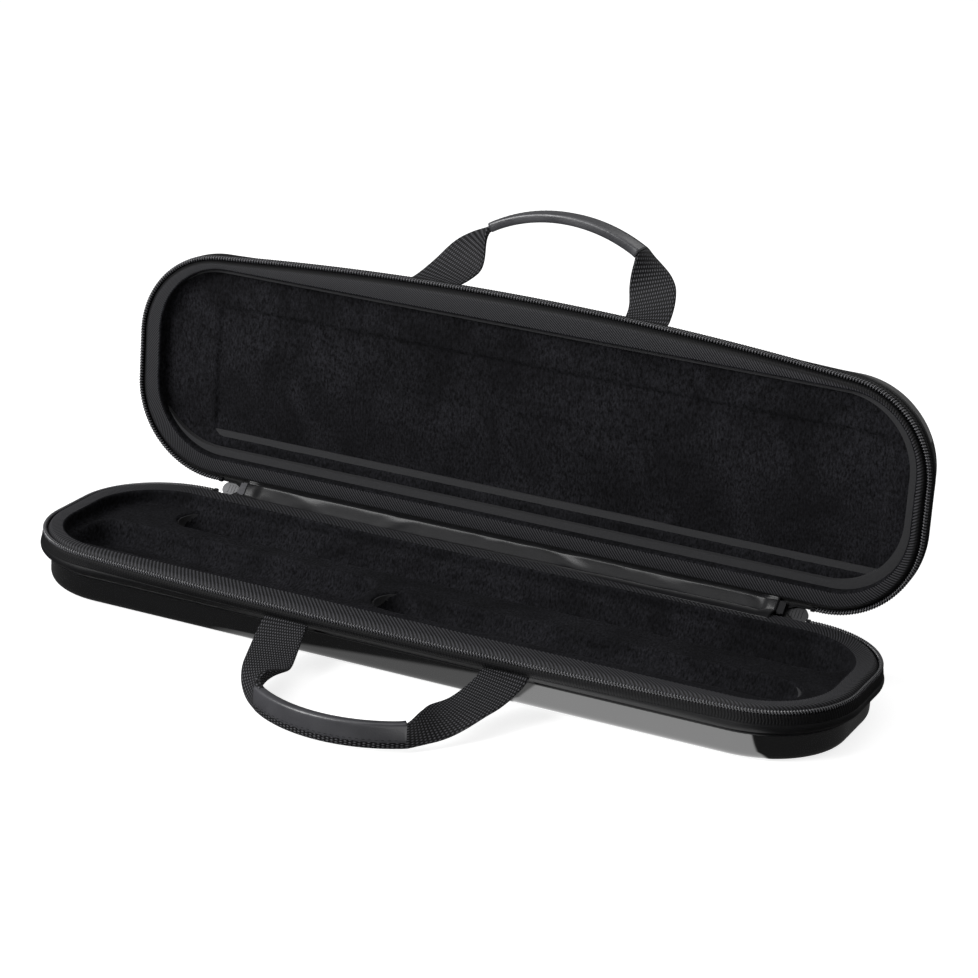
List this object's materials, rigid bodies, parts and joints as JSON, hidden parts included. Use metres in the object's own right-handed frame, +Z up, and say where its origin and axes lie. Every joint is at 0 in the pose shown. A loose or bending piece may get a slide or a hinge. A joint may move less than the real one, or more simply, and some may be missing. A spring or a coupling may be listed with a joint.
{
  "type": "flute case",
  "caption": "Long moulded zip case that opens on a fabric hinge, with a plush bed shaped for a flute in pieces, zip sliders with soft pulls, and webbing handles with sleeved grips.",
  "frame": {"origin": "centre of the base shell's flat underside, which lies at z = 0", "axes": "+X along the case, +Y towards the fabric hinge, +Z up out of the base; the lid is open at rest"},
  "size_m": [0.455, 0.2637, 0.2064],
  "materials": {
    "moulded_shell": "gloss",
    "tape_band": "satin",
    "edge_binding": "satin",
    "zip_coil": "satin",
    "twill_tape": "matte",
    "end_stop": "satin",
    "foam": "matte",
    "plush": "matte",
    "satin_strip": "satin",
    "back_tape": "matte",
    "slider_metal": "satin",
    "pin_steel": "satin",
    "pull_grey": "matte",
    "pull_black": "matte",
    "webbing": "matte",
    "leatherette": "satin"
  },
  "bodies": {
    "base": {"base_shell": "moulded_shell", "base_band": "tape_band", "base_welt": "edge_binding", "base_zip_coil": "zip_coil", "base_twill_ring": "twill_tape", "base_zip_stops": "end_stop", "base_handle_anchors": "webbing", "base_insert": "foam", "base_lining": "plush", "hinge_strip": "satin_strip", "hinge_back_strip": "back_tape"},
    "lid": {"lid_shell": "moulded_shell", "lid_band": "tape_band", "lid_welt": "edge_binding", "lid_zip_coil": "zip_coil", "lid_twill_ring": "twill_tape", "lid_zip_stops": "end_stop", "lid_handle_anchors": "webbing", "lid_insert": "foam", "lid_lining": "plush"},
    "base_handle": {"base_handle_webbing": "webbing", "base_handle_sleeve": "leatherette"},
    "lid_handle": {"lid_handle_webbing": "webbing", "lid_handle_sleeve": "leatherette"},
    "left_slider": {"left_slider": "slider_metal", "left_pull_pin": "pin_steel"},
    "right_slider": {"right_slider": "slider_metal", "right_pull_pin": "pin_steel"},
    "left_pull": {"left_pull": "pull_grey"},
    "right_pull": {"right_pull": "pull_black"}
  },
  "joints": [
    {"name": "lid_hinge", "type": "hinge", "parent": "base", "child": "lid", "pos_m": [0, 0.0649, 0.03008], "axis": [-1, 0, 0], "range_deg": [-91.18, 18.82], "deforming": ["hinge_strip", "hinge_back_strip"]},
    {"name": "base_handle_swing", "type": "hinge", "parent": "base", "child": "base_handle", "pos_m": [0.004, -0.06844, 0.02061], "axis": [-1, 0, 0], "range_deg": [-50, 11]},
    {"name": "lid_handle_swing", "type": "hinge", "parent": "lid", "child": "lid_handle", "pos_m": [0.004, 0.07711, 0.1632], "axis": [-1, 0, 0], "range_deg": [-36, 20]},
    {"name": "left_slider_tilt", "type": "hinge", "parent": "base", "child": "left_slider", "pos_m": [0, 0.0649, 0.03008], "axis": [-1, 0, 0], "range_deg": [-45.59, 9.41]},
    {"name": "right_slider_tilt", "type": "hinge", "parent": "base", "child": "right_slider", "pos_m": [0, 0.0649, 0.03008], "axis": [-1, 0, 0], "range_deg": [-45.59, 9.41]},
    {"name": "left_pull_flip", "type": "hinge", "parent": "left_slider", "child": "left_pull", "pos_m": [-0.1571, 0.06658, 0.02837], "axis": [0, -0.7144, -0.6998], "range_deg": [0, 90]},
    {"name": "right_pull_flip", "type": "hinge", "parent": "right_slider", "child": "right_pull", "pos_m": [0.1571, 0.06658, 0.02837], "axis": [0, 0.7144, 0.6998], "range_deg": [0, 90]}
  ],
  "couplings": [
    {"joint": "left_slider_tilt", "follows": "lid_hinge", "ratio": 0.5},
    {"joint": "right_slider_tilt", "follows": "lid_hinge", "ratio": 0.5}
  ]
}
